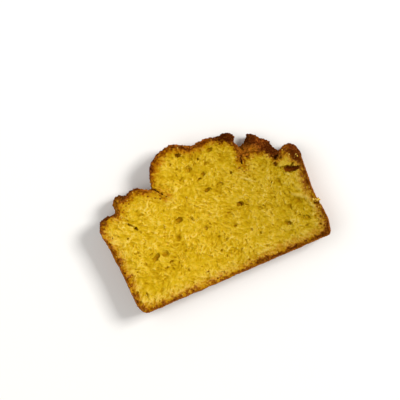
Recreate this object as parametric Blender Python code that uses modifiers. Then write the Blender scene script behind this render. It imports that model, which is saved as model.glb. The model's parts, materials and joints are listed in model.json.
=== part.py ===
"""A slice of yellow loaf cake with a cracked, domed top, lying on its cut face.

Metres, +Z up through the slice's thickness, +X along the base crust and +Y from the base crust to
the domed top. The origin is the middle of the underside. The slice is built as the loaf is: the
section that the tin shaped, the lobes that broke out of the top as it rose, the crust's crags, and
then two level knife cuts that open the crumb.
"""

import math
import random

import bmesh
import bpy
from mathutils import Matrix, Vector, noise

MM = 0.001

# Driving sizes, in millimetres like the tables below.
THICKNESS = 20.0
RAW_OVERHANG = 8.0
CRUST_CELL = 1.95
CRUST_SMOOTHING = 2
TIN_CRAG_DEPTH = 0.35
DOME_CRAG_DEPTH = 1.15
CRAG_SIZE = 5.0
CRAG_DETAIL = 2
CRAG_FADE = 0.8
CRAG_STEP = 2.1
LOBE_SUBDIVISIONS = 4
HOLLOW_SUBDIVISIONS = 2
KNIFE_REACH = 400.0
MERGE_DISTANCE = 0.0001
DOME_STARTS = 46.0
DOME_FULL = 60.0

# Corners of the tin's section, anticlockwise from the lower left, as (across, up).
TIN_SECTION = [
    (-3.0, -0.7),
    (111.8, -0.4),
    (113.7, 8.0),
    (112.0, 27.0),
    (113.6, 46.0),
    (108.0, 50.0),
    (6.0, 56.0),
    (-7.9, 49.0),
    (-6.1, 27.0),
    (-5.6, 4.5),
]

# Lobes of risen cake: across, up, half width, half height, turn in degrees, then the level of the
# fullest section and the half length along the loaf. A lobe whose length ends below the upper
# knife cut shows as crust beyond the edge of the cut face.
LOBES = {
    "left_shoulder": (-1.4, 50.4, 7.5, 7.8, 0, 14, 42),
    "left_lobe": (18.0, 50.5, 15.2, 14.6, 0, 22, 48),
    "left_tip": (18.2, 61.3, 6.0, 5.7, -15, 20, 30),
    "left_knob": (8.1, 62.2, 4.1, 4.7, 0, 7, 12.5),
    "main_left": (45.6, 66.0, 16.2, 15.3, 0, 18, 44),
    "main_right": (64.5, 60.8, 17.6, 16.5, 0, 20, 46),
    "main_corner": (75.6, 64.6, 6.9, 7.4, 0, 20, 30),
    "main_knob": (76.8, 72.4, 5.9, 3.8, 0, 8, 9.5),
    "second_lobe": (89.2, 50.0, 10.6, 10.4, 0, 20, 30),
    "second_crust": (90.3, 56.0, 11.3, 11.0, 0, 5, 14),
    "second_knob": (91.4, 66.3, 3.1, 3.7, 0, 6, 9),
    "right_lobe": (106.2, 48.0, 6.0, 7.2, 0, 18, 28),
    "right_crust": (108.3, 49.5, 6.5, 7.0, 0, 7, 13),
}

# Holes, cracks and torn pockets in the upper cut face: across, up, half length, half width, turn
# in degrees and depth.
HOLLOWS = [
    (105.4, 42.5, 4.9, 1.6, -13, 5.5),
    (103.4, 44.0, 3.0, 1.0, -5, 4.0),
    (98.1, 48.6, 1.4, 1.0, -30, 3.0),
    (100.3, 51.9, 2.2, 1.1, 20, 4.5),
    (81.4, 58.8, 4.3, 0.5, 80, 5.0),
    (82.3, 61.6, 2.0, 1.5, 70, 3.0),
    (30.3, 60.8, 5.2, 0.5, -51, 7.0),
    (27.3, 64.4, 2.6, 1.3, -50, 8.0),
    (9.3, 48.6, 3.6, 0.5, -53, 2.2),
    (11.0, 45.8, 1.1, 0.8, -30, 2.2),
    (48.9, 75.0, 1.6, 0.9, 5, 1.9),
    (51.4, 65.3, 1.9, 1.6, 10, 1.4),
    (35.0, 40.7, 2.0, 1.1, 5, 1.8),
    (42.1, 38.5, 2.2, 0.6, -52, 1.3),
    (15.4, 26.3, 2.4, 1.0, 30, 1.6),
    (20.8, 26.4, 1.8, 1.5, -30, 1.3),
    (71.0, 35.6, 1.7, 0.8, -22, 1.8),
    (57.2, 50.1, 1.7, 0.6, 8, 1.5),
    (65.6, 50.2, 1.1, 0.7, -25, 1.5),
    (58.4, 59.2, 1.9, 0.8, 25, 1.3),
    (91.5, 14.7, 2.0, 0.9, -25, 1.6),
    (46.7, 3.6, 1.2, 1.0, 0, 1.4),
    (38.6, 7.6, 1.6, 0.6, 5, 1.3),
    (34.6, 23.5, 1.3, 0.8, -5, 1.3),
    (47.6, 30.7, 1.3, 0.9, 0, 1.3),
    (66.9, 70.6, 1.4, 0.7, 5, 1.5),
    (103.4, 13.8, 1.6, 0.8, -50, 1.4),
    (71.3, 19.6, 1.3, 0.9, 62, 1.3),
    (56.2, 20.4, 1.7, 0.7, 0, 1.3),
    (-3.3, 46.1, 0.8, 0.7, 90, 1.6),
]

# Holes in the underside, which the photograph doesn't show: spread by a seeded draw.
UNDERSIDE_HOLLOWS = 16
UNDERSIDE_SPREAD = ((4.0, 104.0), (8.0, 50.0))
UNDERSIDE_MIDDLE = (53.0, 40.0)
UNDERSIDE_CLEAR_OF_MIDDLE = 12.0
UNDERSIDE_HALF_LENGTH = (0.9, 2.1)
UNDERSIDE_NARROWNESS = (0.45, 0.8)
UNDERSIDE_DEPTH = (1.0, 1.8)
UNDERSIDE_SEED = 7

CRUMB_COLOUR = (0.72, 0.50, 0.07, 1.0)
CRUST_COLOUR = (0.24, 0.09, 0.025, 1.0)


def clear_scene():
    for old in list(bpy.data.objects):
        bpy.data.objects.remove(old)


def new_collection(name):
    collection = bpy.data.collections.new(name)
    bpy.context.scene.collection.children.link(collection)
    return collection


def baked_material(name, colour, roughness):
    material = bpy.data.materials.new(name)
    material.use_nodes = True
    shader = material.node_tree.nodes["Principled BSDF"]
    shader.inputs["Base Color"].default_value = colour
    shader.inputs["Roughness"].default_value = roughness
    shader.inputs["Metallic"].default_value = 0.0
    return material


def put_in(collection, name, mesh, material):
    """A new object in that collection. Guides and cutters are drawn as wires and left out of renders."""
    obj = bpy.data.objects.new(name, mesh)
    obj.data.materials.append(material)
    collection.objects.link(obj)
    if collection.name != "loaf_cake_slice":
        obj.hide_render = True
        obj.display_type = "WIRE"
    return obj


def as_evaluated(obj, name):
    """A new mesh of the object as its modifiers leave it, its caps and doubles merged."""
    bpy.context.view_layer.update()
    graph = bpy.context.evaluated_depsgraph_get()
    mesh = bpy.data.meshes.new_from_object(obj.evaluated_get(graph))
    mesh.name = name
    shape = bmesh.new()
    shape.from_mesh(mesh)
    bmesh.ops.remove_doubles(shape, verts=shape.verts, dist=MERGE_DISTANCE * MM)
    shape.to_mesh(mesh)
    shape.free()
    return mesh


def ellipsoid_mesh(name, subdivisions, half_sizes, turn_deg, centre):
    """An icosphere stretched to half_sizes, turned about Z and set at centre, all in millimetres."""
    shape = bmesh.new()
    bmesh.ops.create_icosphere(shape, subdivisions=subdivisions, radius=1.0)
    place = (
        Matrix.Translation(Vector(centre) * MM)
        @ Matrix.Rotation(math.radians(turn_deg), 4, "Z")
        @ Matrix.Diagonal([size * MM for size in half_sizes] + [1.0])
    )
    bmesh.ops.transform(shape, matrix=place, verts=shape.verts)
    mesh = bpy.data.meshes.new(name)
    shape.to_mesh(mesh)
    shape.free()
    return mesh


def boolean(obj, name, operation, target):
    """A Boolean with one object or a whole collection. Cut faces take the cutter's material."""
    modifier = obj.modifiers.new(name, "BOOLEAN")
    modifier.operation = operation
    modifier.solver = "EXACT"
    modifier.material_mode = "TRANSFER"
    if isinstance(target, bpy.types.Collection):
        modifier.operand_type = "COLLECTION"
        modifier.collection = target
    else:
        modifier.object = target


def tin_shaped_loaf(guides, crust):
    """The length of loaf that the tin shaped, longer than the slice at both ends."""
    outline = bpy.data.curves.new("tin_section", "CURVE")
    outline.dimensions = "2D"
    outline.fill_mode = "BOTH"
    outline.extrude = (THICKNESS / 2 + RAW_OVERHANG) * MM
    spline = outline.splines.new("POLY")
    spline.points.add(len(TIN_SECTION) - 1)
    spline.use_cyclic_u = True
    for point, (across, up) in zip(spline.points, TIN_SECTION):
        point.co = (across * MM, up * MM, 0, 1)
    curve = bpy.data.objects.new("tin_section", outline)
    guides.objects.link(curve)
    mesh = as_evaluated(curve, "raw_loaf")
    bpy.data.objects.remove(curve)
    mesh.transform(Matrix.Translation((0, 0, THICKNESS / 2 * MM)))
    return put_in(guides, "raw_loaf", mesh, crust)


def add_lobes(lobes, crust):
    for name, (across, up, half_width, half_height, turn, level, half_length) in LOBES.items():
        half_sizes = (half_width, half_height, half_length)
        mesh = ellipsoid_mesh(name, LOBE_SUBDIVISIONS, half_sizes, turn, (across, up, level))
        put_in(lobes, name, mesh, crust)


def fuse_and_smooth(raw_loaf, lobes):
    """Joins the lobes to the loaf and melts their creases into one even skin."""
    boolean(raw_loaf, "risen_lobes", "UNION", lobes)
    skin = raw_loaf.modifiers.new("skin", "REMESH")
    skin.mode = "VOXEL"
    skin.voxel_size = CRUST_CELL * MM
    softened = raw_loaf.modifiers.new("softened", "SMOOTH")
    softened.factor = 0.5
    softened.iterations = CRUST_SMOOTHING
    return as_evaluated(raw_loaf, "baked_loaf")


def crag_depth(up):
    """How deep the crust's relief is at a height above the base: slight where the tin held it."""
    share = (up - DOME_STARTS) / (DOME_FULL - DOME_STARTS)
    share = min(1.0, max(0.0, share))
    return TIN_CRAG_DEPTH + (DOME_CRAG_DEPTH - TIN_CRAG_DEPTH) * share


def roughen_crust(mesh):
    """Pushes the skin in and out along its normals by layered noise."""
    normals = [vertex.normal.copy() for vertex in mesh.vertices]
    for vertex, normal in zip(mesh.vertices, normals):
        place = vertex.co / (CRAG_SIZE * MM)
        relief = noise.fractal(place, CRAG_FADE, CRAG_STEP, CRAG_DETAIL)
        vertex.co += normal * relief * crag_depth(vertex.co.y / MM) * MM
    mesh.update()


def add_knife_slab(guides, crumb):
    """The space between the two knife cuts."""
    bpy.ops.mesh.primitive_cube_add(size=1)
    cube = bpy.context.object
    mesh = cube.data
    bpy.data.objects.remove(cube)
    mesh.transform(Matrix.Diagonal((KNIFE_REACH * MM, KNIFE_REACH * MM, THICKNESS * MM, 1.0)))
    mesh.transform(Matrix.Translation((0, 0, THICKNESS / 2 * MM)))
    return put_in(guides, "between_knife_cuts", mesh, crumb)


def add_upper_hollows(hollows, crumb):
    for number, (across, up, half_length, half_width, turn, depth) in enumerate(HOLLOWS):
        name = f"upper_hollow_{number:02d}"
        half_sizes = (half_length, half_width, depth)
        mesh = ellipsoid_mesh(name, HOLLOW_SUBDIVISIONS, half_sizes, turn, (across, up, THICKNESS))
        put_in(hollows, name, mesh, crumb)


def add_underside_hollows(hollows, crumb):
    """Seeded holes in the lower cut face, none near its middle, where the slice's rest face is named."""
    draw = random.Random(UNDERSIDE_SEED)
    middle = Vector(UNDERSIDE_MIDDLE)
    made = 0
    while made < UNDERSIDE_HOLLOWS:
        across = draw.uniform(*UNDERSIDE_SPREAD[0])
        up = draw.uniform(*UNDERSIDE_SPREAD[1])
        half_length = draw.uniform(*UNDERSIDE_HALF_LENGTH)
        half_width = half_length * draw.uniform(*UNDERSIDE_NARROWNESS)
        depth = draw.uniform(*UNDERSIDE_DEPTH)
        turn = draw.uniform(0, 180)
        if (Vector((across, up)) - middle).length < UNDERSIDE_CLEAR_OF_MIDDLE:
            continue
        name = f"underside_hollow_{made:02d}"
        half_sizes = (half_length, half_width, depth)
        mesh = ellipsoid_mesh(name, HOLLOW_SUBDIVISIONS, half_sizes, turn, (across, up, 0))
        put_in(hollows, name, mesh, crumb)
        made += 1


def centre_on_underside(slice_object, collections):
    """Hangs everything on one empty that puts the middle of the slice's box over the origin."""
    bpy.context.view_layer.update()
    evaluated = slice_object.evaluated_get(bpy.context.evaluated_depsgraph_get())
    corners = [Vector(corner) for corner in evaluated.bound_box]
    low = Vector([min(corner[axis] for corner in corners) for axis in range(3)])
    high = Vector([max(corner[axis] for corner in corners) for axis in range(3)])
    middle = (low + high) / 2
    frame = bpy.data.objects.new("slice_frame", None)
    frame.location = (-middle.x, -middle.y, -low.z)
    bpy.context.scene.collection.objects.link(frame)
    for collection in collections:
        for obj in collection.objects:
            obj.parent = frame


def build_slice():
    clear_scene()
    parts = new_collection("loaf_cake_slice")
    guides = new_collection("guides")
    lobes = new_collection("lobes")
    hollows = new_collection("hollows")
    crust = baked_material("browned_crust", CRUST_COLOUR, 0.55)
    crumb = baked_material("yellow_crumb", CRUMB_COLOUR, 0.85)

    raw_loaf = tin_shaped_loaf(guides, crust)
    add_lobes(lobes, crust)
    baked = fuse_and_smooth(raw_loaf, lobes)
    roughen_crust(baked)
    baked.shade_smooth()
    baked.materials.clear()

    cake = put_in(parts, "cake_slice", baked, crust)
    boolean(cake, "knife_cuts", "INTERSECT", add_knife_slab(guides, crumb))
    add_upper_hollows(hollows, crumb)
    add_underside_hollows(hollows, crumb)
    boolean(cake, "holes_in_the_crumb", "DIFFERENCE", hollows)
    centre_on_underside(cake, (parts, guides, lobes, hollows))


build_slice()
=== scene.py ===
"""The looks of a slice of yellow loaf cake: an open, torn crumb inside a browned, craggy crust."""

import json
import math
import random

import bmesh
import bpy
import numpy as np
from mathutils import Euler, Matrix, Vector, noise
from mathutils.bvhtree import BVHTree
from mathutils.kdtree import KDTree

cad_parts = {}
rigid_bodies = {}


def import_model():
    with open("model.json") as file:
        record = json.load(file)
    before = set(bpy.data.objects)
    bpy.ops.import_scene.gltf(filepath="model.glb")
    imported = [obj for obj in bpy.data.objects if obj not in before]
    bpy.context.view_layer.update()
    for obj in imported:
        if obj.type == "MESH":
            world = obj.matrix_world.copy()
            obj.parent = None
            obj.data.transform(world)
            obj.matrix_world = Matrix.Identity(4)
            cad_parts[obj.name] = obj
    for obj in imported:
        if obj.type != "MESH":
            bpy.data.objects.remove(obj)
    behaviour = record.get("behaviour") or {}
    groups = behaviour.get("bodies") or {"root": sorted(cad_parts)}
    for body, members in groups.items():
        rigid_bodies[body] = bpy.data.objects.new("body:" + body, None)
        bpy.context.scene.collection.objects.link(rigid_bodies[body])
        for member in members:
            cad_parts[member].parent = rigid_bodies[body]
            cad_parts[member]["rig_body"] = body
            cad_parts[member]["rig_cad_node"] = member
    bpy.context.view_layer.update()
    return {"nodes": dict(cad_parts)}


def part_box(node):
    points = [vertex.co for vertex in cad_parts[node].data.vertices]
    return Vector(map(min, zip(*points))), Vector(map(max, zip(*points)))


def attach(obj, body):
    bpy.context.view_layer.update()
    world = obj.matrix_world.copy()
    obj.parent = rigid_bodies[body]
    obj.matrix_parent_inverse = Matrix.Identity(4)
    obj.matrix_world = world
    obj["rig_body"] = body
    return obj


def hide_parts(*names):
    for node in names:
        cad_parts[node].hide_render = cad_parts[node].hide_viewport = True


MM = 0.001

# The photograph's framing: a camera straight above, turned so that the base crust rises to the right.
IMAGE_SIDE = 400
MM_PER_PIXEL = 0.567
CAMERA_HEIGHT = 1100 * MM
CAMERA_ACROSS = -2.0 * MM
CAMERA_UP = 6.0 * MM
BASE_CRUST_TILT = 23.3
SENSOR_WIDTH = 36.0

# The light: each lamp's place in metres, side in metres, power in watts and colour.
LAMPS = {
    "window_side": ((1.38, 0.05, 1.70), 0.7, 38.5, (1.0, 0.98, 0.95)),
    "overhead": ((-0.45, 0.20, 1.1), 0.9, 6.0, (1.0, 0.99, 0.97)),
}
SKY_COLOUR = (1.0, 0.99, 0.97, 1.0)
SKY_STRENGTH = 0.32
FLOOR_SIDE = 4.0
FLOOR_COLOUR = (0.86, 0.855, 0.84, 1.0)
FLOOR_ROUGHNESS = 0.8

# The dressed surface: its cells, its triangles in all and the share of them that is kept on the
# underside, the straight walls and the risen ones.
FINE_CELL = 0.33 * MM
SLICE_TRIANGLES = 192000
UNDERSIDE_BAND = 1.6 * MM
UNDERSIDE_KEPT = 0.09
CUT_FACE_BAND = 2.5 * MM
RISEN_ABOVE = 10.0 * MM
STRAIGHT_WALLS_KEPT = 0.22
RISEN_WALLS_KEPT = 0.45
HIGHEST_CRUMB = 0.55 * MM
FLAT_FACE_BAND = 0.02 * MM
SAME_POINT = 0.001 * MM

# The torn crumb runs in short strands that lie one way in some patches and another way in others.
STREAK_TURNS = (-28.0, 40.0)
STREAK_STRETCH = 1.8
STREAK_PATCH = 12.0 * MM

# How large the lumps of the relief are, and how many millimetres the highest strand may rise.
CURL = 5.0 * MM
ROUGH_PATCH = 6.0 * MM
STRAND = 2.1 * MM
BUBBLE = 3.2 * MM
DIMPLE = 2.0 * MM
PORE = 2.2 * MM
WIDE_PORE = 5.5 * MM
CRUMB_GRAIN = 1.2 * MM
SWELL = 8.0 * MM
TORN_BEAD = 1.9 * MM
HIGHEST_STRAND = 0.42
WRINKLE = 3.0 * MM
CRUST_LUMP = 1.3 * MM

# How large the lumps of the colours are.
FIBRE = 1.7 * MM
DEEP_PATCH = 7.0 * MM
CREAM_LUMP = 3.5 * MM
BLOTCH = 5.0 * MM
FLECK = 1.3 * MM
UNEVEN_PATCH = 5.0 * MM
BROWN_BEAD = 2.1 * MM
SKIN_GRAIN = 0.8 * MM
SPECK = 0.6 * MM

# Where looks change along the section, from here to there, upwards or across.
TIN_RIM = (2.0 * MM, 14.0 * MM)
SMOOTH_TO_CRAGGY = (8.0 * MM, 18.0 * MM)
DARKER_UNDER_TOP = (10.0 * MM, 22.0 * MM)
GOLDEN_UPWARDS = (17.0 * MM, 33.0 * MM)
GOLDEN_ACROSS = (5.0 * MM, 24.0 * MM)
SHADED_ACROSS = (-25.0 * MM, 62.0 * MM)

# Colour of the crumb by its height in millimetres, from painted shade at the bottom of the pores
# to a painted highlight on the torn strands, over the crumb's own yellow.
CRUMB_TONES_WITH_PAINTED_LIGHT = [
    (-2.2, (0.12, 0.040, 0.001, 1)),
    (-1.5, (0.24, 0.105, 0.001, 1)),
    (-0.95, (0.37, 0.192, 0.002, 1)),
    (-0.5, (0.50, 0.290, 0.004, 1)),
    (-0.1, (0.62, 0.390, 0.010, 1)),
    (0.25, (0.74, 0.485, 0.034, 1)),
    (0.60, (0.83, 0.600, 0.115, 1)),
]
LOWEST_TONE = -2.3
HIGHEST_TONE = 0.65

# The crumb's other colours, and the tints that it is multiplied with.
DEEP_YELLOW = (0.60, 0.385, 0.004, 1)
# Painted highlight on the raised torn ridges.
TORN_RIDGE_HIGHLIGHT = (0.84, 0.60, 0.15, 1)
CREAM = (0.80, 0.555, 0.07, 1)
DENSE_YELLOW = (0.84, 0.60, 0.14, 1)
GOLDEN = (0.46, 0.225, 0.004, 1)
SHADE_TINT = (0.66, 0.67, 0.66, 1)
TIN_AMBER_TINT = (0.79, 0.56, 0.27, 1)
TOP_AMBER_TINT = (0.78, 0.48, 0.33, 1)
BROWN_TINT = (0.39, 0.170, 0.22, 1)
# Painted shade in the crumb's holes, browner the deeper they go.
SHALLOW_HOLE_SHADE = (0.36, 0.155, 0.002, 1)
DEEP_HOLE_SHADE = (0.165, 0.033, 0.002, 1)

# The crust's colours. Where there are two, blotches run from the first to the second.
TIN_CRUST = ((0.20, 0.056, 0.005, 1), (0.34, 0.118, 0.009, 1))
RISEN_CRUST = ((0.090, 0.015, 0.0015, 1), (0.22, 0.046, 0.005, 1))
PALE_BROWN = (0.39, 0.140, 0.006, 1)
LIGHT_FLECK = (0.42, 0.130, 0.016, 1)
DARK_FLECK = (0.026, 0.004, 0.001, 1)
SCORCHED = (0.030, 0.004, 0.001, 1)
DARK_EDGE = (0.080, 0.016, 0.001, 1)
BURNT_EDGE = (0.050, 0.009, 0.001, 1)

# Places on the section, in millimetres from the middle of the slice, as (across, up), with how far
# each reaches and how strong it is.
SCORCHED_CRUST = {
    "main_knob": ((23.9, 32.5), 9.0, 1.0),
    "second_knob": ((38.5, 26.5), 6.0, 0.65),
    "second_lobe_right": ((45.5, 17.0), 9.0, 0.7),
    "right_lobe": ((59.0, 9.0), 9.0, 0.45),
    "left_knob": ((-45.0, 25.0), 4.0, 0.3),
    "left_tip": ((-35.0, 27.5), 6.0, 0.5),
    "left_shoulder": ((-56.0, 16.5), 8.0, 0.4),
}
PALE_CRUST = {
    "second_lobe_left": ((31.5, 20.5), 9.0, 0.85),
    "second_lobe_middle": ((37.5, 20.0), 5.0, 0.8),
    "left_lobe_right": ((-27.0, 23.5), 8.0, 0.8),
    "left_knob": ((-47.0, 21.0), 9.0, 1.0),
    "main_lobe_flank": ((-20.0, 24.0), 9.0, 0.7),
    "main_lobe_right": ((26.0, 22.5), 5.0, 0.5),
    "main_lobe_top": ((3.0, 38.5), 12.0, 0.55),
    "right_lobe_top": ((54.0, 15.5), 4.0, 0.5),
}
# Where this is below zero the crust is spared its browning, down to SPARED_REACH below the cut face.
SPARED_REACH = 7.0 * MM
DEEP_BROWNING = {
    "right_lobe_outer": ((58.6, 8.0), 9.5, 5.2),
    "right_lobe_top": ((54.0, 14.5), 7.0, 0.5),
    "notch_before_right_lobe": ((47.5, 11.0), 5.5, 2.0),
    "small_hole": ((45.2, 8.0), 2.2, 2.6),
    "right_side": ((60.5, -12.0), 22.0, 1.1),
    "right_waist": ((57.8, -6.0), 11.0, 1.3),
    "low_right_corner": ((57.0, -36.0), 14.0, 2.2),
    "low_left_corner": ((-55.0, -38.0), 14.0, 0.8),
    "left_side": ((-59.0, -14.0), 26.0, 1.0),
    "second_lobe_top": ((37.5, 20.5), 7.0, 0.9),
    "second_crease": ((27.6, 14.5), 4.0, -2.4),
    "second_flank": ((28.5, 21.0), 3.5, 0.8),
    "main_lobe_top": ((4.0, 38.0), 15.0, 1.3),
    "main_knob_foot": ((14.0, 35.5), 8.0, 0.8),
    "main_lobe_left": ((-15.0, 33.0), 8.0, 1.6),
    "main_lobe_flank": ((-21.0, 24.0), 9.0, -1.6),
    "main_lobe_right": ((26.0, 22.5), 6.5, -1.7),
    "left_crease": ((-21.0, 17.5), 6.5, -2.2),
    "left_knob": ((-46.0, 21.5), 6.0, -1.2),
    "base_crust_left": ((-28.0, -41.0), 32.0, 0.6),
    "base_crust_right": ((28.0, -41.0), 34.0, 1.8),
}

# Hollows in the cut face that shows: (across, up), length, width, turn in degrees, depth. Their rims
# wander, and deeper than LOWER_WALLS below the cut face they are shallower.
HOLLOW_REACH = 6.0
HOLLOW_SPREAD = 0.72
RIM_WANDER = 0.55
WANDER_PITCH = 0.9
WANDER_LEVEL = 3.0
LOWER_WALLS = 0.5
LOWER_WALLS_SHARE = 0.55
HOLLOWS = [
    ((-3.9, 34.4), 3.4, 2.0, 5, 2.4),
    ((-1.5, 24.7), 4.8, 3.8, 10, 1.5),
    ((1.6, 29.9), 3.4, 2.6, -10, 1.1),
    ((5.9, 27.7), 1.5, 1.3, 0, 1.9),
    ((9.1, 23.8), 2.6, 2.0, 20, 1.2),
    ((14.0, 30.0), 3.4, 1.7, 5, 1.6),
    ((-7.4, 27.2), 2.0, 1.6, 0, 1.2),
    ((-7.6, 20.6), 2.8, 1.2, 30, 1.5),
    ((-9.9, 30.9), 1.9, 1.6, 0, 1.3),
    ((5.5, 18.6), 4.2, 2.0, 25, 1.3),
    ((2.4, 16.9), 3.0, 1.3, 20, 1.6),
    ((20.3, 13.4), 2.2, 1.2, -20, 1.6),
    ((4.3, 9.5), 3.8, 1.6, 8, 1.4),
    ((-17.9, 0.1), 5.0, 2.8, 5, 1.8),
    ((-10.8, -2.1), 4.8, 1.2, -52, 0.5),
    ((18.1, -5.0), 4.0, 2.0, -22, 1.8),
    ((21.1, -6.6), 1.8, 1.3, 0, 1.3),
    ((10.1, -7.0), 2.4, 1.3, 0, 1.3),
    ((-21.9, -9.1), 3.4, 3.6, 0, 1.1),
    ((-37.5, -14.3), 5.6, 2.5, 30, 1.8),
    ((-32.1, -14.2), 4.6, 3.8, -30, 1.3),
    ((-30.9, -19.9), 2.9, 1.3, 10, 1.4),
    ((-34.5, -21.9), 2.0, 1.6, 0, 1.2),
    ((-50.7, -17.9), 1.4, 1.1, 0, 1.4),
    ((-21.0, -17.6), 1.8, 1.4, 60, 1.3),
    ((10.6, -15.1), 2.9, 1.4, -15, 1.3),
    ((-2.1, -25.4), 2.0, 1.6, 0, 1.2),
    ((22.1, -24.6), 2.2, 1.7, 30, 1.2),
    ((-15.4, -36.8), 3.4, 1.2, -5, 1.4),
    ((-42.4, -32.6), 3.6, 1.8, 40, 1.1),
    ((-50.9, -31.6), 1.4, 2.8, 0, 1.2),
    ((-47.9, -7.8), 1.7, 1.4, 0, 1.2),
    ((-48.4, 2.1), 1.5, 1.3, 0, 2.0),
    ((-41.8, 5.2), 1.6, 1.4, 0, 2.4),
    ((-23.7, -27.6), 1.8, 1.5, 0, 1.3),
    ((48.1, -30.8), 2.5, 1.2, 0, 1.2),
    ((55.2, -33.6), 1.6, 1.3, 0, 2.0),
    ((50.1, -27.3), 3.2, 1.8, -50, 1.4),
    ((38.2, -25.7), 4.4, 2.0, -22, 1.6),
    ((49.2, -16.0), 7.5, 3.2, -30, 1.0),
    ((43.6, -17.9), 3.0, 1.9, -40, 1.2),
    ((57.8, -21.6), 4.0, 1.5, -23, 2.0),
    ((29.8, -11.1), 1.4, 1.2, 0, 1.8),
    ((31.1, 4.4), 1.7, 1.4, 0, 1.3),
    ((49.3, 10.0), 1.6, 1.4, 0, 1.8),
    ((47.4, 11.3), 4.4, 2.4, 20, 0.8),
    ((45.2, 8.0), 3.0, 2.2, -30, 1.0),
    ((51.2, 2.8), 8.0, 3.0, -36, 1.2),
    ((55.8, 1.0), 5.0, 1.8, -4, 1.6),
    ((53.7, 3.9), 4.2, 1.5, 37, 2.2),
    ((47.2, 4.8), 4.0, 1.5, -23, 1.4),
    ((-23.0, 20.8), 9.0, 1.5, -51, 0.7),
    ((28.4, 17.4), 7.0, 1.2, 80, 0.3),
]

# Ridges that the knife tore up: both ends, width and height.
RIDGE_SPREAD = 0.6
TORN_RIDGES = [
    ((47.5, -11.5), (56.2, -17.6), 2.6, 0.45),
    ((55.0, -19.5), (56.0, -24.0), 1.3, 0.40),
    ((48.0, 1.2), (51.5, -0.8), 1.2, 0.35),
    ((24.5, 8.5), (31.0, 3.5), 2.0, 0.35),
    ((-52.0, -1.0), (-44.0, 3.0), 2.0, 0.30),
]

# Loose crumbs: how many, their radii and how far from the outer wall they lie, in millimetres. Each
# one has its own draw, so its spot doesn't depend on the others. RAISED_BY is a share of the radius.
CRUMB_SEED = 5
SEEDS_APART = 1000
CRUMB_SHAPES = 5
RIM_CRUMBS = 110
INNER_CRUMBS = 36
RIM_CRUMB = (0.28, 0.58)
INNER_CRUMB = (0.25, 0.45)
RIM_BAND = (0.2, 3.5)
INNER_BAND = (3.5, 100.0)
PALE_SHARE = 0.25
SECTION_ACROSS = (-62.0, 62.0)
SECTION_UP = (-42.0, 42.0)
CRUMB_BAND = 0.9 * MM
SPOT_SLACK = 0.4 * MM
RAISED_BY = 0.25
DENT_DEPTH = 0.45
DENT_PITCH = 1.7
DENTS_APART = 7.0
CRUMB_FACES_KEPT = 0.6
PALE_CRUMB = ((0.50, 0.28, 0.015, 1), (0.76, 0.53, 0.10, 1))
BROWN_CRUMB = ((0.09, 0.020, 0.002, 1), (0.32, 0.12, 0.010, 1))

# The torn flake at the right side, piece by piece: (across, up) and radius.
FLAKE = [
    ((57.2, -19.0), 0.8),
    ((58.4, -19.5), 0.95),
    ((59.6, -20.0), 0.85),
    ((60.4, -20.6), 0.65),
    ((58.9, -20.4), 0.6),
]


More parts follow.
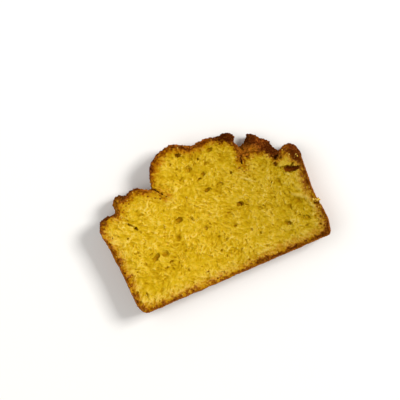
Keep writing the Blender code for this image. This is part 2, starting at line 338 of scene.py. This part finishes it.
class Wiring:
    """Adds nodes to a shader or geometry tree, each wired up as it is made."""

    def __init__(self, tree):
        self.tree = tree

    def add(self, kind, inputs=None, **settings):
        node = self.tree.nodes.new(kind)
        for name, value in settings.items():
            setattr(node, name, value)
        for key, value in (inputs or {}).items():
            if isinstance(value, bpy.types.NodeSocket):
                self.tree.links.new(value, node.inputs[key])
            else:
                node.inputs[key].default_value = value
        return node

    def math(self, operation, first, second=0.0):
        return self.add("ShaderNodeMath", {0: first, 1: second}, operation=operation).outputs[0]

    def vector_math(self, operation, first, second):
        node = self.add("ShaderNodeVectorMath", {0: first, 1: second}, operation=operation)
        return node.outputs[0]

    def scaled(self, vector, factor):
        node = self.add("ShaderNodeVectorMath", {0: vector, "Scale": factor}, operation="SCALE")
        return node.outputs[0]

    def plus(self, *terms):
        total = terms[0]
        for term in terms[1:]:
            total = self.math("ADD", total, term)
        return total

    def unlike(self, value, middle):
        """How far the value is from the middle, whichever side it lies on."""
        return self.math("ABSOLUTE", self.math("SUBTRACT", value, middle))

    def coordinates(self, vector):
        """The vector's parts along x, y and z."""
        return self.add("ShaderNodeSeparateXYZ", {0: vector}).outputs

    def on_points(self, name):
        """In a shader, the value that was stored on the points under that name."""
        return self.add("ShaderNodeAttribute", attribute_name=name).outputs["Fac"]

    def ease(self, value, low, high, at_low=0.0, at_high=1.0):
        """Smooth step from at_low to at_high while the value runs from low to high."""
        inputs = {0: value, 1: low, 2: high, 3: at_low, 4: at_high}
        return self.add("ShaderNodeMapRange", inputs, interpolation_type="SMOOTHSTEP").outputs[0]

    def noise(self, place, size, detail=3.0, roughness=0.55, distortion=0.0):
        """Smooth noise from about 0 to 1 whose lumps are about that size."""
        inputs = {
            "Vector": place,
            "Scale": 1.0 / size,
            "Detail": detail,
            "Roughness": roughness,
            "Distortion": distortion,
        }
        return self.add("ShaderNodeTexNoise", inputs)

    def cells(self, place, size, feature="F1"):
        """Foam cells of about that size: distance from each one's middle or edge, and a random colour."""
        return self.add("ShaderNodeTexVoronoi", {"Vector": place, "Scale": 1.0 / size}, feature=feature)

    def some_cells(self, place, size, closed_share, radii, depth):
        """Pits of that depth in the cells that a draw leaves open, with radii between the two given."""
        foam = self.cells(place, size)
        drawn = self.coordinates(foam.outputs["Color"])
        is_open = self.ease(drawn[0], closed_share, closed_share + 0.08)
        radius = self.ease(drawn[1], 0.0, 1.0, *radii)
        pit = self.ease(foam.outputs["Distance"], 0.02, radius, depth, 0.0)
        return self.math("MULTIPLY", pit, is_open)

    def mix(self, share, first, second):
        node = self.add("ShaderNodeMix", {0: share, 6: first, 7: second}, data_type="RGBA")
        return node.outputs[2]

    def multiplied(self, first, second):
        inputs = {0: 1.0, 6: first, 7: second}
        return self.add("ShaderNodeMix", inputs, data_type="RGBA", blend_type="MULTIPLY").outputs[2]

    def ramp(self, value, low, high, tones):
        """Colours given at values between low and high, blended in between."""
        share = self.add("ShaderNodeMapRange", {0: value, 1: low, 2: high}).outputs[0]
        node = self.add("ShaderNodeValToRGB", {0: share})
        stops = node.color_ramp.elements
        for number, (at, colour) in enumerate(tones):
            stop = stops[number] if number < 2 else stops.new(1.0)
            stop.position = (at - low) / (high - low)
            stop.color = colour
        return node.outputs[0]

    def along_streaks(self, place, turn):
        """The place turned to a streak's direction and squeezed along it, so that lumps grow longer."""
        turned = self.add(
            "ShaderNodeVectorRotate",
            {"Vector": place, "Angle": math.radians(-turn)},
            rotation_type="Z_AXIS",
        ).outputs[0]
        squeeze = (1.0 / STREAK_STRETCH, 1.0, 1.0)
        return self.vector_math("MULTIPLY", turned, squeeze)

    def streaky_noise(self, place, size, detail, roughness):
        """Noise in long lumps that lie one way in some patches and another way in the others."""
        first, second = [
            self.noise(self.along_streaks(place, turn), size, detail, roughness).outputs[0]
            for turn in STREAK_TURNS
        ]
        patches = self.noise(place, STREAK_PATCH, 1.0).outputs[0]
        share = self.ease(patches, 0.44, 0.56)
        inputs = {0: share, 2: first, 3: second}
        return self.add("ShaderNodeMix", inputs, data_type="FLOAT").outputs[0]


def deselect_all():
    if bpy.context.object and bpy.context.object.mode != "OBJECT":
        bpy.ops.object.mode_set(mode="OBJECT")
    bpy.ops.object.select_all(action="DESELECT")


def make_active(obj):
    deselect_all()
    obj.select_set(True)
    bpy.context.view_layer.objects.active = obj


def apply_modifier(obj, modifier):
    make_active(obj)
    bpy.ops.object.modifier_apply(modifier=modifier.name)


def copy_of_node(node, name):
    """A free copy of a fixed solid, its loose triangles merged into one skin."""
    piece = node.copy()
    piece.data = node.data.copy()
    piece.name = name
    piece.data.name = name
    piece.parent = None
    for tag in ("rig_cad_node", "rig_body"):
        if tag in piece:
            del piece[tag]
    bpy.context.scene.collection.objects.link(piece)
    make_active(piece)
    bpy.ops.object.mode_set(mode="EDIT")
    bpy.ops.mesh.select_all(action="SELECT")
    bpy.ops.mesh.remove_doubles(threshold=SAME_POINT)
    bpy.ops.mesh.tris_convert_to_quads()
    bpy.ops.object.mode_set(mode="OBJECT")
    piece.data.materials.clear()
    return piece


def crust_skin_of(slice_solid, thickness):
    """The outer wall alone, without both knife cuts and the holes that then fall loose."""
    skin = bmesh.new()
    skin.from_mesh(slice_solid.data)
    cut_faces = []
    for face in skin.faces:
        levels = [vertex.co.z for vertex in face.verts]
        on_upper = min(levels) > thickness - FLAT_FACE_BAND
        on_lower = max(levels) < FLAT_FACE_BAND
        if on_upper or on_lower:
            cut_faces.append(face)
    bmesh.ops.delete(skin, geom=cut_faces, context="FACES")
    unseen = set(skin.faces)
    largest = []
    while unseen:
        island = [unseen.pop()]
        for face in island:
            for edge in face.edges:
                for neighbour in edge.link_faces:
                    if neighbour in unseen:
                        unseen.remove(neighbour)
                        island.append(neighbour)
        if len(island) > len(largest):
            largest = island
    kept = set(largest)
    bmesh.ops.delete(skin, geom=[face for face in skin.faces if face not in kept], context="FACES")
    tree = BVHTree.FromBMesh(skin)
    skin.free()
    return tree


def store_on_points(mesh, name, values):
    attribute = mesh.attributes.get(name) or mesh.attributes.new(name, "FLOAT", "POINT")
    attribute.data.foreach_set("value", np.asarray(values, np.float32))


def points_of(mesh):
    flat = np.zeros(len(mesh.vertices) * 3, np.float32)
    mesh.vertices.foreach_get("co", flat)
    return flat.reshape(-1, 3).astype(float)


def smooth_fall(share):
    """One at the middle, zero at the edge and beyond, with a soft slope between."""
    share = np.clip(1.0 - share, 0.0, 1.0)
    return share * share * (3 - 2 * share)


def strength_at(points, spots):
    """For each point, what the named spots on the section add up to, each fading over its reach."""
    strength = np.zeros(len(points))
    for (across, up), reach, most in spots.values():
        distance = np.hypot(points[:, 0] / MM - across, points[:, 1] / MM - up)
        strength += most * smooth_fall(distance / reach)
    return strength


def mark_crust(piece, skin, thickness):
    """Stores how many millimetres each point lies from the outer wall, and how it was baked."""
    points = points_of(piece.data)
    from_crust = [skin.find_nearest(point)[3] / MM for point in points]
    store_on_points(piece.data, "from_crust", from_crust)
    store_on_points(piece.data, "scorch", np.minimum(strength_at(points, SCORCHED_CRUST), 1.0))
    store_on_points(piece.data, "pale", np.minimum(strength_at(points, PALE_CRUST), 1.0))
    deeper = strength_at(points, DEEP_BROWNING)
    near_cut = smooth_fall((thickness - points[:, 2]) / SPARED_REACH)
    store_on_points(piece.data, "deep_browning", np.where(deeper < 0.0, deeper * near_cut, deeper))


def mark_hollows(piece, thickness):
    """Stores how deep each point near the upper cut face lies in a hollow, less where a ridge rises."""
    points = points_of(piece.data) / MM
    upper = np.flatnonzero(points[:, 2] > thickness / MM - HOLLOW_REACH)
    flat = points[upper, :2].copy()
    for number, spot in enumerate(flat):
        wander = noise.noise_vector((spot[0] * WANDER_PITCH, spot[1] * WANDER_PITCH, WANDER_LEVEL))
        flat[number] += (wander.x * RIM_WANDER, wander.y * RIM_WANDER)
    depth = np.zeros(len(flat))
    for (across, up), length, width, turn, deepest in HOLLOWS:
        cosine, sine = math.cos(math.radians(turn)), math.sin(math.radians(turn))
        along = (flat[:, 0] - across) * cosine + (flat[:, 1] - up) * sine
        beside = (flat[:, 1] - up) * cosine - (flat[:, 0] - across) * sine
        reach = np.hypot(along / (HOLLOW_SPREAD * length), beside / (HOLLOW_SPREAD * width))
        depth = np.maximum(depth, deepest * smooth_fall(reach))
    for start, end, width, rise in TORN_RIDGES:
        line = np.subtract(end, start)
        share = np.clip((flat - start) @ line / (line @ line), 0.0, 1.0)
        away = np.hypot(*(flat - start - share[:, None] * line).T)
        depth = depth - rise * smooth_fall(away / (RIDGE_SPREAD * width))
    below_cut = thickness / MM - points[upper, 2]
    whole = np.zeros(len(points))
    whole[upper] = depth * np.where(below_cut > LOWER_WALLS, LOWER_WALLS_SHARE, 1.0)
    store_on_points(piece.data, "hollow", whole)


def relief_group():
    """Geometry nodes that open the crumb's pores and wrinkle the crust."""
    tree = bpy.data.node_groups.new("crumb_and_crust_relief", "GeometryNodeTree")
    tree.interface.new_socket("Geometry", in_out="INPUT", socket_type="NodeSocketGeometry")
    tree.interface.new_socket("Geometry", in_out="OUTPUT", socket_type="NodeSocketGeometry")
    wire = Wiring(tree)
    start = wire.add("NodeGroupInput").outputs[0]
    place = wire.add("GeometryNodeInputPosition").outputs[0]
    normal = wire.add("GeometryNodeInputNormal").outputs[0]
    from_crust = wire.add("GeometryNodeInputNamedAttribute", {"Name": "from_crust"}).outputs[0]

    crumb_height = torn_crumb(wire, place, from_crust)
    crust_height = wrinkled_crust(wire, place)
    torn = wire.ease(from_crust, 0.1, 0.9)
    crumb_part = wire.math("MULTIPLY", crumb_height, torn)
    crust_part = wire.math("MULTIPLY", crust_height, wire.math("SUBTRACT", 1.0, torn))
    hollow = wire.add("GeometryNodeInputNamedAttribute", {"Name": "hollow"}).outputs[0]
    height = wire.math("SUBTRACT", wire.plus(crumb_part, crust_part), hollow)
    shift = wire.scaled(normal, wire.math("MULTIPLY", height, MM))
    moved = wire.add("GeometryNodeSetPosition", {"Geometry": start, "Offset": shift}).outputs[0]
    stored = wire.add(
        "GeometryNodeStoreNamedAttribute",
        {"Geometry": moved, "Name": "height", "Value": height},
        data_type="FLOAT",
        domain="POINT",
    ).outputs[0]
    wire.add("NodeGroupOutput", {0: stored})
    return tree


def torn_crumb(wire, place, from_crust):
    """Height of the torn crumb in millimetres: curled strands and bubble walls round pores.

    It is rougher near the crust, and in some patches of the rest."""
    wobble = wire.noise(place, CURL, 2.0).outputs["Color"]
    wobble = wire.vector_math("SUBTRACT", wobble, (0.5, 0.5, 0.5))
    warped = wire.vector_math("ADD", place, wire.scaled(wobble, CURL))
    patches = wire.noise(place, ROUGH_PATCH, 1.0).outputs[0]
    fluffy = wire.ease(from_crust, 1.5, 9.0, 1.0, 0.0)
    rough = wire.math("MAXIMUM", wire.ease(patches, 0.40, 0.60, 0.2, 1.0), fluffy)

    strands = wire.streaky_noise(warped, STRAND, 1.0, 0.4)
    strands = wire.ease(wire.unlike(strands, 0.5), 0.0, 0.13, 0.50, 0.0)
    walls = wire.cells(warped, BUBBLE, feature="DISTANCE_TO_EDGE").outputs["Distance"]
    walls = wire.ease(walls, 0.02, 0.18, 0.30, 0.0)
    raised = wire.math("MULTIPLY", wire.plus(strands, walls), wire.math("MULTIPLY", rough, 1.1))

    dimples = wire.cells(warped, DIMPLE).outputs["Distance"]
    dimples = wire.math("MULTIPLY", wire.ease(dimples, 0.05, 0.5, 0.5, 0.0), rough)
    pores = wire.some_cells(warped, PORE, 0.60, (0.22, 0.40), 1.1)
    wide_pores = wire.some_cells(place, WIDE_PORE, 0.66, (0.14, 0.26), 1.2)
    lowered = wire.plus(dimples, pores, wide_pores)

    grain = wire.streaky_noise(place, CRUMB_GRAIN, 1.5, 0.5)
    grain = wire.ease(grain, 0.25, 0.75, -0.34, 0.34)
    swell = wire.noise(place, SWELL, 2.0).outputs[0]
    swell = wire.ease(swell, 0.25, 0.75, -0.55, -0.05)
    height = wire.math("SUBTRACT", wire.plus(raised, grain, swell), lowered)

    # The rim breaks away in beads where the knife met the crust.
    beads = wire.noise(place, TORN_BEAD, 2.0, 0.5).outputs[0]
    beads = wire.ease(beads, 0.35, 0.65, -0.6, 0.25)
    near_rim = wire.ease(from_crust, 0.8, 2.6, 1.0, 0.0)
    height = wire.math("ADD", height, wire.math("MULTIPLY", beads, near_rim))
    return wire.math("MINIMUM", height, HIGHEST_STRAND)


def wrinkled_crust(wire, place):
    """Height of the crust's skin in millimetres: wrinkles and lumps, flatter where the tin was."""
    wrinkles = wire.noise(place, WRINKLE, 4.0, 0.7).outputs[0]
    wrinkles = wire.ease(wrinkles, 0.25, 0.75, -0.5, 0.75)
    lumps = wire.cells(place, CRUST_LUMP).outputs["Distance"]
    lumps = wire.ease(lumps, 0.1, 0.75, 0.36, -0.22)
    risen = wire.ease(wire.coordinates(place)[1], *SMOOTH_TO_CRAGGY, 0.3, 1.0)
    return wire.math("MULTIPLY", wire.plus(wrinkles, lumps), risen)


def dress_slice(node, thickness):
    """The slice as one closed skin: open crumb on the cut faces and in the holes, crags on the crust."""
    piece = copy_of_node(node, "torn_crumb_and_crust")
    skin = crust_skin_of(piece, thickness)

    cells = piece.modifiers.new("fine_cells", "REMESH")
    cells.mode = "VOXEL"
    cells.voxel_size = FINE_CELL
    apply_modifier(piece, cells)
    mark_crust(piece, skin, thickness)
    mark_hollows(piece, thickness)

    relief = piece.modifiers.new("relief", "NODES")
    relief.node_group = relief_group()
    apply_modifier(piece, relief)

    triangles = piece.modifiers.new("triangles", "TRIANGULATE")
    apply_modifier(piece, triangles)
    thin_out_walls(piece, thickness)
    settle(piece, thickness)
    piece.data.shade_smooth()
    return piece


def thin_out(piece, chosen, kept):
    """Collapses edges between the chosen points until that share of the triangles there is left."""
    corners = np.zeros(len(piece.data.polygons) * 3, np.int32)
    piece.data.polygons.foreach_get("vertices", corners)
    inside = chosen[corners.reshape(-1, 3)].all(axis=1).sum()
    group = piece.vertex_groups.new(name="to_thin_out")
    group.add([int(index) for index in np.flatnonzero(chosen)], 1.0, "REPLACE")
    fewer = piece.modifiers.new("fewer_triangles", "DECIMATE")
    fewer.ratio = 1.0 - (1.0 - kept) * inside / len(piece.data.polygons)
    fewer.vertex_group = group.name
    apply_modifier(piece, fewer)
    piece.vertex_groups.clear()


def thin_out_walls(piece, thickness):
    """Coarser triangles on the underside and walls, so that most are left for the face that shows."""
    level = points_of(piece.data)[:, 2]
    thin_out(piece, level < UNDERSIDE_BAND, UNDERSIDE_KEPT)
    for risen, kept in ((False, STRAIGHT_WALLS_KEPT), (True, RISEN_WALLS_KEPT)):
        points = points_of(piece.data)
        walls = (points[:, 2] >= UNDERSIDE_BAND) & (points[:, 2] < thickness - CUT_FACE_BAND)
        thin_out(piece, walls & ((points[:, 1] > RISEN_ABOVE) == risen), kept)
    evened = piece.modifiers.new("evened_triangles", "DECIMATE")
    evened.ratio = min(1.0, SLICE_TRIANGLES / len(piece.data.polygons))
    apply_modifier(piece, evened)


def settle(piece, thickness):
    """Nothing reaches below the surface that the slice lies on, or far above the knife's cut."""
    points = points_of(piece.data)
    points[:, 2] = np.clip(points[:, 2], 0.0, thickness + HIGHEST_CRUMB)
    piece.data.vertices.foreach_set("co", points.astype(np.float32).ravel())
    piece.data.update()


def empty_material(name):
    """A material without nodes, and the wiring to add them with."""
    material = bpy.data.materials.new(name)
    material.use_nodes = True
    material.node_tree.nodes.clear()
    return material, Wiring(material.node_tree)


def cake_material(thickness):
    """Crumb and crust in one material, told apart by how far a point lies from the outer wall."""
    material, wire = empty_material("yellow_crumb_and_brown_crust")
    place = wire.add("ShaderNodeTexCoord").outputs["Object"]
    from_crust = wire.on_points("from_crust")

    crumb = crumb_colour(wire, place, from_crust)
    crust = crust_colour(wire, place)
    colour = browned_edge(wire, place, from_crust, crumb, crust)
    # Painted shade: browner deeper in the holes.
    colour = painted_shade_in_holes(wire, place, from_crust, colour, thickness)

    grain = wire.noise(place, SKIN_GRAIN, 3.0, 0.65).outputs[0]
    bump = wire.add("ShaderNodeBump", {"Strength": 0.7, "Distance": 0.35 * MM, "Height": grain})
    shader = wire.add(
        "ShaderNodeBsdfPrincipled",
        {
            "Base Color": colour,
            "Roughness": wire.ease(from_crust, 0.2, 1.2, 0.6, 0.9),
            "Specular IOR Level": 0.0,
            "Subsurface Weight": 0.15,
            "Subsurface Radius": (1.0, 0.55, 0.12),
            "Subsurface Scale": 0.8 * MM,
            "Normal": bump.outputs[0],
        },
    )
    wire.add("ShaderNodeOutputMaterial", {"Surface": shader.outputs[0]})
    return material


def crumb_colour(wire, place, from_crust):
    """Painted highlight on torn strands and ridges, deeper yellow between them, painted shade in the
    pores.
    """
    height = wire.on_points("height")
    across, up = wire.coordinates(place)[:2]
    hollow = wire.on_points("hollow")
    fibres = wire.streaky_noise(place, FIBRE, 2.5, 0.6)
    fibres = wire.ease(fibres, 0.25, 0.75, -0.35, 0.34)
    risen = wire.ease(up, *DARKER_UNDER_TOP)
    under_top = wire.math("MULTIPLY", wire.ease(from_crust, 1.5, 9.0, 0.25, 0.0), risen)
    shallower = wire.math("MULTIPLY", hollow, 0.15)
    # The crumb's height sets painted shade in the pores and a painted highlight on the strands.
    tone = wire.math("SUBTRACT", wire.plus(height, fibres, shallower), under_top)
    colour = wire.ramp(tone, LOWEST_TONE, HIGHEST_TONE, CRUMB_TONES_WITH_PAINTED_LIGHT)
    patches = wire.noise(place, DEEP_PATCH, 2.0).outputs[0]
    colour = wire.mix(wire.ease(patches, 0.42, 0.64, 0.0, 0.4), colour, DEEP_YELLOW)
    # Painted highlight: the raised torn ridges are paler.
    colour = wire.mix(wire.ease(hollow, -0.32, -0.04, 0.28, 0.0), colour, TORN_RIDGE_HIGHLIGHT)
    # Cream lumps at random, shown only on the higher crumb: its own colour, partly a painted highlight.
    cream = wire.noise(place, CREAM_LUMP, 2.0, 0.5, 0.6).outputs[0]
    cream = wire.math("MULTIPLY", wire.ease(cream, 0.52, 0.66, 0.0, 0.32), wire.ease(tone, -0.7, 0.1))
    colour = wire.mix(cream, colour, CREAM)

    # Close to the tin the crumb is paler and closer, and under the risen top it is more golden.
    past_browning = wire.ease(from_crust, 1.8, 3.5)
    near_crust = wire.math("MULTIPLY", past_browning, wire.ease(from_crust, 4.5, 9.5, 1.0, 0.0))
    in_tin = wire.ease(up, *TIN_RIM, 1.0, 0.0)
    dense = wire.math("MULTIPLY", near_crust, wire.ease(tone, -0.5, 0.35, 0.0, 0.40))
    colour = wire.mix(wire.math("MULTIPLY", dense, in_tin), colour, DENSE_YELLOW)
    golden = wire.ease(up, *GOLDEN_UPWARDS, 0.24, 0.62)
    golden = wire.math("MULTIPLY", golden, wire.ease(across, *GOLDEN_ACROSS, 1.0, 0.4))
    golden = wire.math("MULTIPLY", golden, wire.ease(from_crust, 1.0, 9.0, 1.0, 0.0))
    colour = wire.mix(golden, colour, GOLDEN)

    # The slice is darker towards its right side.
    shaded = wire.ease(across, *SHADED_ACROSS, 0.19, 1.0)
    return wire.mix(shaded, colour, wire.multiplied(colour, SHADE_TINT))


def crust_colour(wire, place):
    """Golden brown where the tin held it, red brown on the risen top, nearly black on the knobs."""
    up = wire.coordinates(place)[1]
    scorch = wire.on_points("scorch")
    pale = wire.on_points("pale")
    blotches = wire.noise(place, BLOTCH, 4.0, 0.65).outputs[0]
    blotches = wire.ease(blotches, 0.32, 0.68)
    flecks = wire.noise(place, FLECK, 3.0, 0.75).outputs[0]
    side = wire.mix(blotches, *TIN_CRUST)
    top = wire.mix(blotches, *RISEN_CRUST)
    colour = wire.mix(wire.ease(up, *TIN_RIM), side, top)
    colour = wire.mix(pale, colour, PALE_BROWN)
    marked = wire.ease(up, *TIN_RIM, 0.4, 0.9)
    light = wire.math("MULTIPLY", marked, wire.ease(flecks, 0.51, 0.60, 0.0, 0.8))
    colour = wire.mix(light, colour, LIGHT_FLECK)
    dark = wire.math("MULTIPLY", marked, wire.ease(flecks, 0.39, 0.48, 0.85, 0.0))
    colour = wire.mix(dark, colour, DARK_FLECK)
    scorched = wire.math("MULTIPLY", scorch, wire.ease(flecks, 0.50, 0.62, 0.96, 0.82))
    return wire.mix(scorched, colour, SCORCHED)


def browned_edge(wire, place, from_crust, crumb, crust):
    """Browning that fades inwards in uneven beads: amber, brown, a dark line, then the crust itself."""
    deeper = wire.on_points("deep_browning")
    uneven = wire.noise(place, UNEVEN_PATCH, 2.0, 0.5).outputs[0]
    uneven = wire.ease(uneven, 0.25, 0.75, -0.9, 0.9)
    beads = wire.noise(place, BROWN_BEAD, 3.0, 0.55).outputs[0]
    beads = wire.ease(beads, 0.3, 0.7, -1.5, 1.5)
    depth = wire.math("SUBTRACT", wire.plus(from_crust, uneven, beads), deeper)
    wider = wire.math("MULTIPLY", wire.math("MAXIMUM", deeper, 0.0), 0.7)
    amber = wire.ease(wire.math("SUBTRACT", depth, wider), 1.2, 4.8, 0.8, 0.0)
    brown = wire.ease(depth, 0.5, 2.2, 0.9, 0.0)
    dark = wire.ease(depth, -1.2, 0.6, 0.9, 0.0)
    up = wire.coordinates(place)[1]
    tint = wire.mix(wire.ease(up, *TIN_RIM), TIN_AMBER_TINT, TOP_AMBER_TINT)
    colour = wire.mix(amber, crumb, wire.multiplied(crumb, tint))
    colour = wire.mix(brown, colour, wire.multiplied(crumb, BROWN_TINT))
    colour = wire.mix(dark, colour, DARK_EDGE)
    spared = wire.math("MAXIMUM", wire.math("SUBTRACT", 0.0, deeper), 0.0)
    spared = wire.math("MULTIPLY", spared, 0.4)
    outer_depth = wire.plus(from_crust, wire.math("MULTIPLY", beads, 0.3), spared)
    outer = wire.ease(outer_depth, 0.2, 0.8, 1.0, 0.0)
    colour = wire.mix(outer, colour, crust)
    scorch = wire.on_points("scorch")
    burnt = wire.math("MULTIPLY", scorch, wire.ease(depth, 0.6, 2.6, 0.75, 0.0))
    return wire.mix(burnt, colour, BURNT_EDGE)


def painted_shade_in_holes(wire, place, from_crust, colour, thickness):
    """Painted shade in holes: browner the deeper a point lies, counted from whichever cut face is nearer.
    """
    level = wire.coordinates(place)[2]
    depth = wire.math("MINIMUM", level, wire.math("SUBTRACT", thickness, level))
    within = wire.ease(from_crust, 0.7, 1.4)
    shallow = wire.math("MULTIPLY", within, wire.ease(depth, 0.8 * MM, 2.2 * MM, 0.0, 0.5))
    deep = wire.math("MULTIPLY", within, wire.ease(depth, 2.0 * MM, 4.2 * MM, 0.0, 0.95))
    colour = wire.mix(shallow, colour, SHALLOW_HOLE_SHADE)
    return wire.mix(deep, colour, DEEP_HOLE_SHADE)


def crumb_template(number, draw):
    """One broken crumb: a ball thinned to a few dozen faces and knocked out of round."""
    deselect_all()
    bpy.ops.mesh.primitive_ico_sphere_add(subdivisions=2, radius=1.0)
    crumb = bpy.context.object
    crumb.name = f"crumb_shape_{number}"
    stretch = Vector((draw.uniform(0.8, 1.3), draw.uniform(0.7, 1.0), draw.uniform(0.6, 0.9)))
    for vertex in crumb.data.vertices:
        spot = vertex.co * DENT_PITCH + Vector((DENTS_APART * number, 0.0, 0.0))
        dent = 1.0 + DENT_DEPTH * noise.noise(spot)
        vertex.co = vertex.co * stretch * dent
    fewer = crumb.modifiers.new("fewer_faces", "DECIMATE")
    fewer.ratio = CRUMB_FACES_KEPT
    apply_modifier(crumb, fewer)
    return crumb


def drawn_spot(draw, finder, from_crust, band):
    """A spot on the cut face, drawn again until it lies within that band behind the outer wall."""
    while True:
        across = draw.uniform(*SECTION_ACROSS) * MM
        up = draw.uniform(*SECTION_UP) * MM
        _, index, away = finder.find((across, up, 0.0))
        if away < SPOT_SLACK and band[0] < from_crust[index] < band[1]:
            return across, up


def laid_crumb(shape, draw, spot, radius, thickness):
    """A copy of the shape, turned at random and set down on its spot."""
    crumb = shape.copy()
    crumb.data = shape.data.copy()
    turn = Euler([draw.uniform(0.0, math.tau) for _ in range(3)]).to_matrix().to_4x4()
    raised = Matrix.Translation((spot[0], spot[1], spot[2] + RAISED_BY * radius))
    crumb.data.transform(raised @ turn @ Matrix.Scale(radius, 4))
    over = points_of(crumb.data)[:, 2].max() - thickness - HIGHEST_CRUMB
    crumb.data.transform(Matrix.Translation((0.0, 0.0, -max(0.0, over))))
    bpy.context.scene.collection.objects.link(crumb)
    return crumb


def loose_crumbs(cake, thickness):
    """Crumbs that cling to the cut face, most of them near its rim, and the torn flake."""
    points = points_of(cake.data)
    from_crust = np.zeros(len(points), np.float32)
    cake.data.attributes["from_crust"].data.foreach_get("value", from_crust)
    upper = np.flatnonzero(points[:, 2] > thickness - CRUMB_BAND)
    finder = KDTree(len(upper))
    for index in upper:
        finder.insert((points[index, 0], points[index, 1], 0.0), int(index))
    finder.balance()

    kinds = [(RIM_BAND, RIM_CRUMB, 1.0 - PALE_SHARE)] * RIM_CRUMBS
    kinds += [(INNER_BAND, INNER_CRUMB, 0.0)] * INNER_CRUMBS
    shapes = []
    for number in range(CRUMB_SHAPES):
        shapes.append(crumb_template(number, random.Random(CRUMB_SEED + number)))
    crumbs = []
    for number in range(len(kinds) + len(FLAKE)):
        draw = random.Random(SEEDS_APART * CRUMB_SEED + number)
        shape = shapes[draw.randrange(CRUMB_SHAPES)]
        if number < len(kinds):
            band, radii, browned_share = kinds[number]
            radius = draw.uniform(*radii)
            browned = float(draw.random() < browned_share)
            across, up = drawn_spot(draw, finder, from_crust, band)
        else:
            (across, up), radius = FLAKE[number - len(kinds)]
            across, up = across * MM, up * MM
            browned = 0.0
        nearest = finder.find((across, up, 0.0))[1]
        crumb = laid_crumb(shape, draw, (across, up, points[nearest, 2]), radius * MM, thickness)
        store_on_points(crumb.data, "browned", np.full(len(crumb.data.vertices), browned))
        crumbs.append(crumb)
    for shape in shapes:
        bpy.data.objects.remove(shape)
    make_active(crumbs[0])
    for crumb in crumbs:
        crumb.select_set(True)
    bpy.ops.object.join()
    piece = bpy.context.object
    piece.name = "loose_crumbs"
    piece.data.name = "loose_crumbs"
    piece.data.shade_smooth()
    return piece


def crumb_material():
    """Pale yellow crumbs, and brown ones from the crust."""
    material, wire = empty_material("broken_crumbs")
    place = wire.add("ShaderNodeTexCoord").outputs["Object"]
    browned = wire.on_points("browned")
    specks = wire.noise(place, SPECK, 3.0, 0.6).outputs[0]
    specks = wire.ease(specks, 0.3, 0.7)
    pale = wire.mix(specks, *PALE_CRUMB)
    brown = wire.mix(specks, *BROWN_CRUMB)
    bump = wire.add("ShaderNodeBump", {"Strength": 0.6, "Distance": 0.15 * MM, "Height": specks})
    shader = wire.add(
        "ShaderNodeBsdfPrincipled",
        {
            "Base Color": wire.mix(browned, pale, brown),
            "Roughness": 0.85,
            "Specular IOR Level": 0.1,
            "Normal": bump.outputs[0],
        },
    )
    wire.add("ShaderNodeOutputMaterial", {"Surface": shader.outputs[0]})
    return material


def pale_floor():
    deselect_all()
    bpy.ops.mesh.primitive_plane_add(size=FLOOR_SIDE)
    floor = bpy.context.object
    floor.name = "floor"
    material = bpy.data.materials.new("pale_floor")
    material.use_nodes = True
    shader = material.node_tree.nodes["Principled BSDF"]
    shader.inputs["Base Color"].default_value = FLOOR_COLOUR
    shader.inputs["Roughness"].default_value = FLOOR_ROUGHNESS
    floor.data.materials.append(material)


def soft_light(name, place, size, power, colour):
    """A square area light aimed at the slice."""
    data = bpy.data.lights.new(name, "AREA")
    data.shape = "SQUARE"
    data.size = size
    data.energy = power
    data.color = colour
    lamp = bpy.data.objects.new(name, data)
    lamp.location = place
    lamp.rotation_euler = (-Vector(place)).to_track_quat("-Z", "Y").to_euler()
    bpy.context.scene.collection.objects.link(lamp)


def studio():
    pale_floor()
    for name, settings in LAMPS.items():
        soft_light(name, *settings)
    world = bpy.data.worlds.new("studio")
    bpy.context.scene.world = world
    world.use_nodes = True
    sky = world.node_tree.nodes["Background"]
    sky.inputs["Color"].default_value = SKY_COLOUR
    sky.inputs["Strength"].default_value = SKY_STRENGTH
    bpy.context.scene.view_settings.view_transform = "Standard"


def camera_above(thickness):
    data = bpy.data.cameras.new("camera_above")
    data.sensor_width = SENSOR_WIDTH
    frame_width = IMAGE_SIDE * MM_PER_PIXEL * MM
    data.lens = SENSOR_WIDTH * (CAMERA_HEIGHT - thickness) / frame_width
    camera = bpy.data.objects.new("camera_above", data)
    camera.location = (CAMERA_ACROSS, CAMERA_UP, CAMERA_HEIGHT)
    camera.rotation_euler = (0.0, 0.0, math.radians(-BASE_CRUST_TILT))
    bpy.context.scene.collection.objects.link(camera)
    bpy.context.scene.camera = camera


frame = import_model()
lowest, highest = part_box("cake_slice")
slice_thickness = highest.z - lowest.z

cake = dress_slice(frame["nodes"]["cake_slice"], slice_thickness)
cake.data.materials.append(cake_material(slice_thickness))
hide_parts("cake_slice")
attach(cake, "root")

crumbs = loose_crumbs(cake, slice_thickness)
crumbs.data.materials.append(crumb_material())
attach(crumbs, "root")

camera_above(slice_thickness)
studio()
